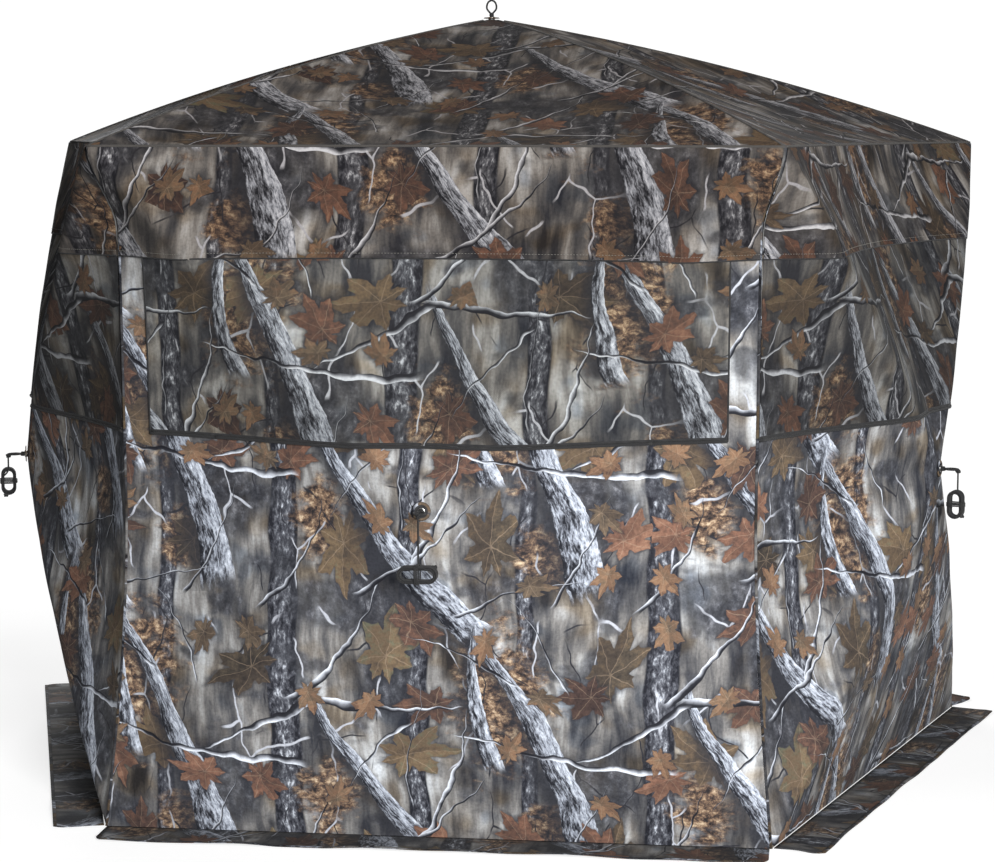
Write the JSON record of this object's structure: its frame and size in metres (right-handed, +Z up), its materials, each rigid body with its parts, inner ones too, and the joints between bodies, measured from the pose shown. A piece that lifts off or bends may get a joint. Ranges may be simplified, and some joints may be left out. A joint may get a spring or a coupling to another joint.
{
  "type": "pop up ground blind",
  "caption": "Five-sided pop-up ground blind with camouflage fabric walls pushed out by hub and pole frames, mesh window band, zip door, ground skirts and tie-down cords.",
  "frame": {"origin": "centre of the footprint on the ground, measured without the tie-down cords", "axes": "+Z up, front wall faces -Y, +X to the right as seen from the front"},
  "size_m": [2.5514, 2.5201, 1.8293],
  "materials": {
    "camo_fabric": "printed polyester, matt with a slight coated sheen",
    "window_mesh": "dark printed see-through mesh",
    "hub_plastic": "moulded black nylon",
    "fibreglass": "black pultruded glass fibre rod",
    "cord": "black braided cord",
    "zip_metal": "black painted zinc"
  },
  "bodies": {
    "shell": {"wall_front": "camo_fabric", "wall_right": "camo_fabric", "wall_rear_right": "camo_fabric", "wall_rear_left": "camo_fabric", "wall_left": "camo_fabric", "roof_canopy": "camo_fabric", "window_mesh_front": "window_mesh", "window_mesh_right": "window_mesh", "window_mesh_left": "window_mesh"},
    "front_hub": {"hub_front": "hub_plastic", "pull_front": "cord", "cord_front": "cord", "cord_front_hank": "cord"},
    "front_top_left_pole": {"pole_front_top_left": "fibreglass"},
    "front_top_right_pole": {"pole_front_top_right": "fibreglass"},
    "front_bottom_left_pole": {"pole_front_bottom_left": "fibreglass"},
    "front_bottom_right_pole": {"pole_front_bottom_right": "fibreglass"},
    "right_hub": {"hub_right": "hub_plastic", "pull_right": "cord", "cord_right": "cord", "cord_right_hank": "cord"},
    "right_top_left_pole": {"pole_right_top_left": "fibreglass"},
    "right_top_right_pole": {"pole_right_top_right": "fibreglass"},
    "right_bottom_left_pole": {"pole_right_bottom_left": "fibreglass"},
    "right_bottom_right_pole": {"pole_right_bottom_right": "fibreglass"},
    "rear_right_hub": {"hub_rear_right": "hub_plastic", "pull_rear_right": "cord"},
    "rear_right_top_left_pole": {"pole_rear_right_top_left": "fibreglass"},
    "rear_right_top_right_pole": {"pole_rear_right_top_right": "fibreglass"},
    "rear_right_bottom_left_pole": {"pole_rear_right_bottom_left": "fibreglass"},
    "rear_right_bottom_right_pole": {"pole_rear_right_bottom_right": "fibreglass"},
    "rear_left_hub": {"hub_rear_left": "hub_plastic", "pull_rear_left": "cord"},
    "rear_left_top_left_pole": {"pole_rear_left_top_left": "fibreglass"},
    "rear_left_top_right_pole": {"pole_rear_left_top_right": "fibreglass"},
    "rear_left_bottom_left_pole": {"pole_rear_left_bottom_left": "fibreglass"},
    "rear_left_bottom_right_pole": {"pole_rear_left_bottom_right": "fibreglass"},
    "left_hub": {"hub_left": "hub_plastic", "pull_left": "cord", "cord_left": "cord", "cord_left_hank": "cord"},
    "left_top_left_pole": {"pole_left_top_left": "fibreglass"},
    "left_top_right_pole": {"pole_left_top_right": "fibreglass"},
    "left_bottom_left_pole": {"pole_left_bottom_left": "fibreglass"},
    "left_bottom_right_pole": {"pole_left_bottom_right": "fibreglass"},
    "roof_hub": {"hub_roof": "hub_plastic", "pull_roof": "cord"},
    "roof_pole_1": {"pole_roof_1": "fibreglass"},
    "roof_pole_2": {"pole_roof_2": "fibreglass"},
    "roof_pole_3": {"pole_roof_3": "fibreglass"},
    "roof_pole_4": {"pole_roof_4": "fibreglass"},
    "roof_pole_5": {"pole_roof_5": "fibreglass"},
    "front_skirt": {"skirt_front": "camo_fabric"},
    "right_skirt": {"skirt_right": "camo_fabric"},
    "rear_right_skirt": {"skirt_rear_right": "camo_fabric"},
    "rear_left_skirt": {"skirt_rear_left": "camo_fabric"},
    "left_skirt": {"skirt_left": "camo_fabric"},
    "door": {"door_flap": "camo_fabric"},
    "zip_slider": {"door_zip_slider": "zip_metal"}
  },
  "joints": [
    {"name": "front_hub_slide", "type": "slide", "parent": "shell", "child": "front_hub", "axis": [0, -1, -0.0088], "range_m": [-0.12, 0], "deforming": ["wall_front", "window_mesh_front"]},
    {"name": "front_top_left_pole_hinge", "type": "hinge", "parent": "front_hub", "child": "front_top_left_pole", "pos_m": [-0.02103, -1.18456, 0.75441], "axis": [-0.7132, 0.0062, -0.701], "range_deg": [-8, 0]},
    {"name": "front_top_right_pole_hinge", "type": "hinge", "parent": "front_hub", "child": "front_top_right_pole", "pos_m": [0.02103, -1.18456, 0.75441], "axis": [-0.7132, -0.0062, 0.701], "range_deg": [-8, 0]},
    {"name": "front_bottom_left_pole_hinge", "type": "hinge", "parent": "front_hub", "child": "front_bottom_left_pole", "pos_m": [-0.02107, -1.18418, 0.71166], "axis": [0.7119, 0.0062, -0.7023], "range_deg": [-8, 0]},
    {"name": "front_bottom_right_pole_hinge", "type": "hinge", "parent": "front_hub", "child": "front_bottom_right_pole", "pos_m": [0.02107, -1.18418, 0.71166], "axis": [0.7119, -0.0062, 0.7023], "range_deg": [-8, 0]},
    {"name": "right_hub_slide", "type": "slide", "parent": "shell", "child": "right_hub", "axis": [0.951, -0.309, -0.0088], "range_m": [-0.12, 0], "deforming": ["wall_right", "window_mesh_right"]},
    {"name": "right_top_left_pole_hinge", "type": "hinge", "parent": "right_hub", "child": "right_top_left_pole", "pos_m": [1.06235, -0.42799, 0.75441], "axis": [-0.2263, -0.6764, -0.701], "range_deg": [-8, 0]},
    {"name": "right_top_right_pole_hinge", "type": "hinge", "parent": "right_hub", "child": "right_top_right_pole", "pos_m": [1.07535, -0.38799, 0.75441], "axis": [-0.2145, -0.6802, 0.701], "range_deg": [-8, 0]},
    {"name": "right_bottom_left_pole_hinge", "type": "hinge", "parent": "right_hub", "child": "right_bottom_left_pole", "pos_m": [1.06198, -0.42791, 0.71166], "axis": [0.2141, 0.6789, -0.7023], "range_deg": [-8, 0]},
    {"name": "right_bottom_right_pole_hinge", "type": "hinge", "parent": "right_hub", "child": "right_bottom_right_pole", "pos_m": [1.075, -0.38784, 0.71166], "axis": [0.2259, 0.6751, 0.7023], "range_deg": [-8, 0]},
    {"name": "rear_right_hub_slide", "type": "slide", "parent": "shell", "child": "rear_right_hub", "axis": [0.5878, 0.809, -0.0088], "range_m": [-0.12, 0], "deforming": ["wall_rear_right"]},
    {"name": "rear_right_top_left_pole_hinge", "type": "hinge", "parent": "rear_right_hub", "child": "rear_right_top_left_pole", "pos_m": [0.6776, 0.83616, 0.75441], "axis": [0.5733, -0.4242, -0.701], "range_deg": [-8, 0]},
    {"name": "rear_right_top_right_pole_hinge", "type": "hinge", "parent": "rear_right_hub", "child": "rear_right_top_right_pole", "pos_m": [0.64357, 0.86088, 0.75441], "axis": [0.5806, -0.4142, 0.701], "range_deg": [-8, 0]},
    {"name": "rear_right_bottom_left_pole_hinge", "type": "hinge", "parent": "rear_right_hub", "child": "rear_right_bottom_left_pole", "pos_m": [0.67741, 0.83583, 0.71166], "axis": [-0.5796, 0.4134, -0.7023], "range_deg": [-8, 0]},
    {"name": "rear_right_bottom_right_pole_hinge", "type": "hinge", "parent": "rear_right_hub", "child": "rear_right_bottom_right_pole", "pos_m": [0.64332, 0.8606, 0.71166], "axis": [-0.5723, 0.4234, 0.7023], "range_deg": [-8, 0]},
    {"name": "rear_left_hub_slide", "type": "slide", "parent": "shell", "child": "rear_left_hub", "axis": [-0.5878, 0.809, -0.0088], "range_m": [-0.12, 0], "deforming": ["wall_rear_left"]},
    {"name": "rear_left_top_left_pole_hinge", "type": "hinge", "parent": "rear_left_hub", "child": "rear_left_top_left_pole", "pos_m": [-0.64357, 0.86088, 0.75441], "axis": [0.5806, 0.4142, -0.701], "range_deg": [-8, 0]},
    {"name": "rear_left_top_right_pole_hinge", "type": "hinge", "parent": "rear_left_hub", "child": "rear_left_top_right_pole", "pos_m": [-0.6776, 0.83616, 0.75441], "axis": [0.5733, 0.4242, 0.701], "range_deg": [-8, 0]},
    {"name": "rear_left_bottom_left_pole_hinge", "type": "hinge", "parent": "rear_left_hub", "child": "rear_left_bottom_left_pole", "pos_m": [-0.64332, 0.8606, 0.71166], "axis": [-0.5723, -0.4234, -0.7023], "range_deg": [-8, 0]},
    {"name": "rear_left_bottom_right_pole_hinge", "type": "hinge", "parent": "rear_left_hub", "child": "rear_left_bottom_right_pole", "pos_m": [-0.67741, 0.83583, 0.71166], "axis": [-0.5796, -0.4134, 0.7023], "range_deg": [-8, 0]},
    {"name": "left_hub_slide", "type": "slide", "parent": "shell", "child": "left_hub", "axis": [-0.951, -0.309, -0.0088], "range_m": [-0.12, 0], "deforming": ["wall_left", "window_mesh_left"]},
    {"name": "left_top_left_pole_hinge", "type": "hinge", "parent": "left_hub", "child": "left_top_left_pole", "pos_m": [-1.07535, -0.38799, 0.75441], "axis": [-0.2145, 0.6802, -0.701], "range_deg": [-8, 0]},
    {"name": "left_top_right_pole_hinge", "type": "hinge", "parent": "left_hub", "child": "left_top_right_pole", "pos_m": [-1.06235, -0.42799, 0.75441], "axis": [-0.2263, 0.6764, 0.701], "range_deg": [-8, 0]},
    {"name": "left_bottom_left_pole_hinge", "type": "hinge", "parent": "left_hub", "child": "left_bottom_left_pole", "pos_m": [-1.075, -0.38784, 0.71166], "axis": [0.2259, -0.6751, -0.7023], "range_deg": [-8, 0]},
    {"name": "left_bottom_right_pole_hinge", "type": "hinge", "parent": "left_hub", "child": "left_bottom_right_pole", "pos_m": [-1.06198, -0.42791, 0.71166], "axis": [0.2141, -0.6789, 0.7023], "range_deg": [-8, 0]},
    {"name": "roof_hub_slide", "type": "slide", "parent": "shell", "child": "roof_hub", "axis": [0, 0, 1], "range_m": [-0.15, 0], "deforming": ["roof_canopy"]},
    {"name": "roof_pole_1_hinge", "type": "hinge", "parent": "roof_hub", "child": "roof_pole_1", "pos_m": [0.01763, -0.08497, 1.759], "axis": [0.809, 0.5878, 0], "range_deg": [-9, 0]},
    {"name": "roof_pole_2_hinge", "type": "hinge", "parent": "roof_hub", "child": "roof_pole_2", "pos_m": [0.02853, -0.05143, 1.759], "axis": [-0.309, 0.9511, 0], "range_deg": [-9, 0]},
    {"name": "roof_pole_3_hinge", "type": "hinge", "parent": "roof_hub", "child": "roof_pole_3", "pos_m": [0, -0.0307, 1.759], "axis": [-1, 0, 0], "range_deg": [-9, 0]},
    {"name": "roof_pole_4_hinge", "type": "hinge", "parent": "roof_hub", "child": "roof_pole_4", "pos_m": [-0.02853, -0.05143, 1.759], "axis": [-0.309, -0.9511, 0], "range_deg": [-9, 0]},
    {"name": "roof_pole_5_hinge", "type": "hinge", "parent": "roof_hub", "child": "roof_pole_5", "pos_m": [-0.01763, -0.08497, 1.759], "axis": [0.809, -0.5878, 0], "range_deg": [-9, 0]},
    {"name": "front_skirt_fold", "type": "hinge", "parent": "shell", "child": "front_skirt", "pos_m": [0, -1.05789, 0], "axis": [-1, 0, 0], "range_deg": [0, 50]},
    {"name": "right_skirt_fold", "type": "hinge", "parent": "shell", "child": "right_skirt", "pos_m": [0.94838, -0.36885, 0], "axis": [-0.309, -0.9511, 0], "range_deg": [0, 50]},
    {"name": "rear_right_skirt_fold", "type": "hinge", "parent": "shell", "child": "rear_right_skirt", "pos_m": [0.58613, 0.74604, 0], "axis": [0.809, -0.5878, 0], "range_deg": [0, 50]},
    {"name": "rear_left_skirt_fold", "type": "hinge", "parent": "shell", "child": "rear_left_skirt", "pos_m": [-0.58613, 0.74604, 0], "axis": [0.809, 0.5878, 0], "range_deg": [0, 50]},
    {"name": "left_skirt_fold", "type": "hinge", "parent": "shell", "child": "left_skirt", "pos_m": [-0.94838, -0.36885, 0], "axis": [-0.309, 0.9511, 0], "range_deg": [0, 50]},
    {"name": "door_swing", "type": "hinge", "parent": "shell", "child": "door", "pos_m": [-0.77264, 0.78883, 0.60614], "axis": [-0.4776, -0.526, -0.7037], "range_deg": [0, 110]},
    {"name": "zip_slide", "type": "slide", "parent": "shell", "child": "zip_slider", "axis": [0.4828, 0.5172, -0.7067], "range_m": [0, 0.5]}
  ],
  "couplings": [
    {"joint": "front_top_left_pole_hinge", "follows": "front_hub_slide", "rad_per_m": 1.0265},
    {"joint": "front_top_right_pole_hinge", "follows": "front_hub_slide", "rad_per_m": 1.0265},
    {"joint": "front_bottom_left_pole_hinge", "follows": "front_hub_slide", "rad_per_m": 1.0422},
    {"joint": "front_bottom_right_pole_hinge", "follows": "front_hub_slide", "rad_per_m": 1.0422},
    {"joint": "right_top_left_pole_hinge", "follows": "right_hub_slide", "rad_per_m": 1.0265},
    {"joint": "right_top_right_pole_hinge", "follows": "right_hub_slide", "rad_per_m": 1.0265},
    {"joint": "right_bottom_left_pole_hinge", "follows": "right_hub_slide", "rad_per_m": 1.0422},
    {"joint": "right_bottom_right_pole_hinge", "follows": "right_hub_slide", "rad_per_m": 1.0422},
    {"joint": "rear_right_top_left_pole_hinge", "follows": "rear_right_hub_slide", "rad_per_m": 1.0265},
    {"joint": "rear_right_top_right_pole_hinge", "follows": "rear_right_hub_slide", "rad_per_m": 1.0265},
    {"joint": "rear_right_bottom_left_pole_hinge", "follows": "rear_right_hub_slide", "rad_per_m": 1.0422},
    {"joint": "rear_right_bottom_right_pole_hinge", "follows": "rear_right_hub_slide", "rad_per_m": 1.0422},
    {"joint": "rear_left_top_left_pole_hinge", "follows": "rear_left_hub_slide", "rad_per_m": 1.0265},
    {"joint": "rear_left_top_right_pole_hinge", "follows": "rear_left_hub_slide", "rad_per_m": 1.0265},
    {"joint": "rear_left_bottom_left_pole_hinge", "follows": "rear_left_hub_slide", "rad_per_m": 1.0422},
    {"joint": "rear_left_bottom_right_pole_hinge", "follows": "rear_left_hub_slide", "rad_per_m": 1.0422},
    {"joint": "left_top_left_pole_hinge", "follows": "left_hub_slide", "rad_per_m": 1.0265},
    {"joint": "left_top_right_pole_hinge", "follows": "left_hub_slide", "rad_per_m": 1.0265},
    {"joint": "left_bottom_left_pole_hinge", "follows": "left_hub_slide", "rad_per_m": 1.0422},
    {"joint": "left_bottom_right_pole_hinge", "follows": "left_hub_slide", "rad_per_m": 1.0422},
    {"joint": "roof_pole_1_hinge", "follows": "roof_hub_slide", "rad_per_m": 0.84281},
    {"joint": "roof_pole_2_hinge", "follows": "roof_hub_slide", "rad_per_m": 0.8428},
    {"joint": "roof_pole_3_hinge", "follows": "roof_hub_slide", "rad_per_m": 0.84281},
    {"joint": "roof_pole_4_hinge", "follows": "roof_hub_slide", "rad_per_m": 0.8428},
    {"joint": "roof_pole_5_hinge", "follows": "roof_hub_slide", "rad_per_m": 0.84281}
  ]
}
